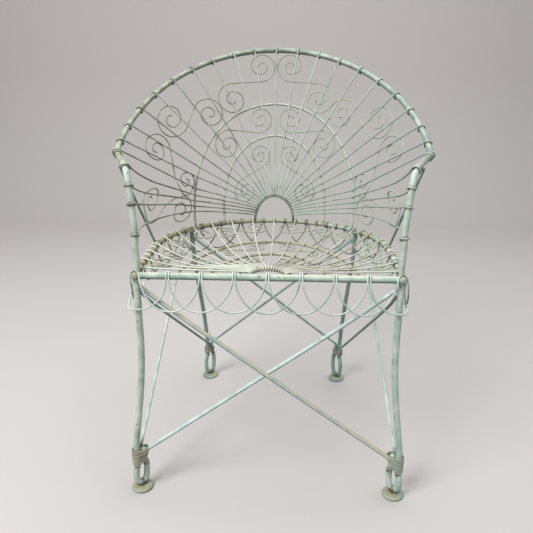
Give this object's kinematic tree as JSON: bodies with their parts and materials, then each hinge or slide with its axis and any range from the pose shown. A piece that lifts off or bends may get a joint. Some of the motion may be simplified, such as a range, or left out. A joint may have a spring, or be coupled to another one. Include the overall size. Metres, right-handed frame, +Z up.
{
  "type": "iron wire chair",
  "caption": "Wirework garden armchair with a barrel back: fanned wires in back and seat, scrolls, a looped apron, crossed braces and disc feet.",
  "frame": {"origin": "on the floor, under the middle of the chair's box", "axes": "+Z up; the chair faces -Y, so +X is on the right of a viewer in front of it"},
  "size_m": [0.6322, 0.5406, 0.8412],
  "materials": {
    "frame_paint": "aged satin paint",
    "wire_paint": "aged satin paint",
    "leg_paint": "aged satin paint",
    "foot_paint": "worn satin paint"
  },
  "bodies": {
    "root": {"ankle_bindings": "leg_paint", "apron_back": "wire_paint", "apron_front": "wire_paint", "apron_left": "wire_paint", "apron_right": "wire_paint", "arm_stay_left": "frame_paint", "arm_stay_right": "frame_paint", "back_arm_wires_left": "wire_paint", "back_arm_wires_right": "wire_paint", "back_border_scrolls_left": "wire_paint", "back_border_scrolls_right": "wire_paint", "back_fan_ring": "frame_paint", "back_fan_wire_middle": "wire_paint", "back_fan_wires_left": "wire_paint", "back_fan_wires_right": "wire_paint", "back_hoop": "frame_paint", "back_inner_arch": "frame_paint", "back_inner_scrolls": "wire_paint", "back_middle_scrolls": "wire_paint", "back_outer_arch": "frame_paint", "front_brace_left": "leg_paint", "front_brace_right": "leg_paint", "front_foot_left": "foot_paint", "front_foot_right": "foot_paint", "front_leg_left": "leg_paint", "front_leg_right": "leg_paint", "front_rail": "frame_paint", "rear_brace_left": "leg_paint", "rear_brace_right": "leg_paint", "rear_foot_left": "foot_paint", "rear_foot_right": "foot_paint", "rear_leg_left": "leg_paint", "rear_leg_right": "leg_paint", "seat_border_scrolls_left": "wire_paint", "seat_border_scrolls_right": "wire_paint", "seat_fan_ring": "frame_paint", "seat_fan_wire_middle": "wire_paint", "seat_fan_wires_left": "wire_paint", "seat_fan_wires_right": "wire_paint", "seat_inner_arch": "frame_paint", "seat_inner_scrolls": "wire_paint", "seat_middle_scrolls": "wire_paint", "seat_outer_arch": "frame_paint", "seat_rim": "frame_paint", "side_brace_left": "leg_paint", "side_brace_right": "leg_paint"}
  },
  "joints": []
}
